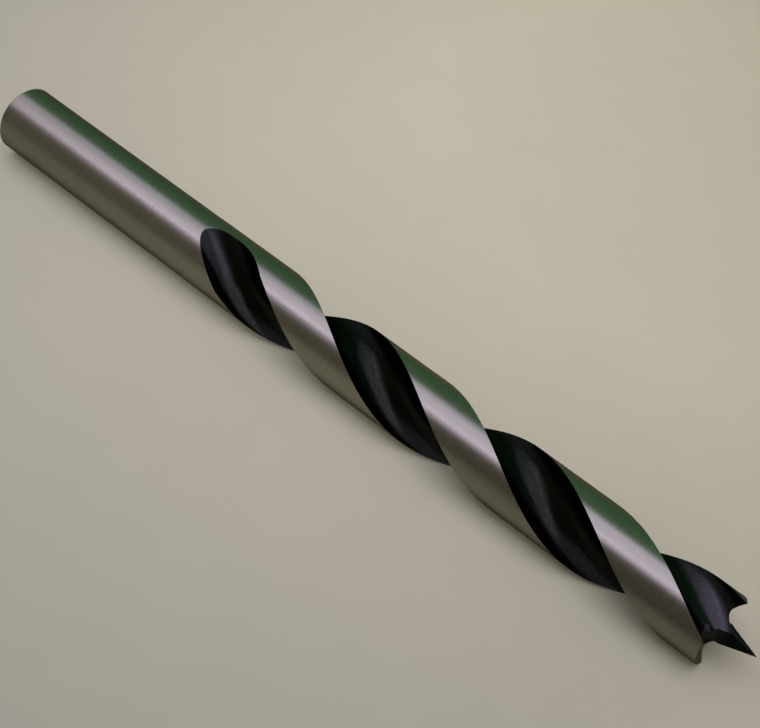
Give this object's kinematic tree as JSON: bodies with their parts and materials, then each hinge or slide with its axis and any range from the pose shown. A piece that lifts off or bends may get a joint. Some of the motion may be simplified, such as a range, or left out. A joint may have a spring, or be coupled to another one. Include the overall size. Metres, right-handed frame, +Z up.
{
  "type": "brad-point drill bit",
  "caption": "Straight brad-point twist bit with a plain round shank, dark spiral flutes and bright lands, for boring holes in wood.",
  "frame": {"origin": "under the middle of the bit's length, on the surface it lies on", "axes": "+X along the bit from the shank to the point, +Z up from the surface it lies on"},
  "size_m": [0.151, 0.012, 0.012],
  "materials": {
    "steel": "ground bright on the shank and the lands, black oxide in the flutes and on the point"
  },
  "bodies": {
    "root": {"drill_bit": "steel"}
  },
  "joints": []
}
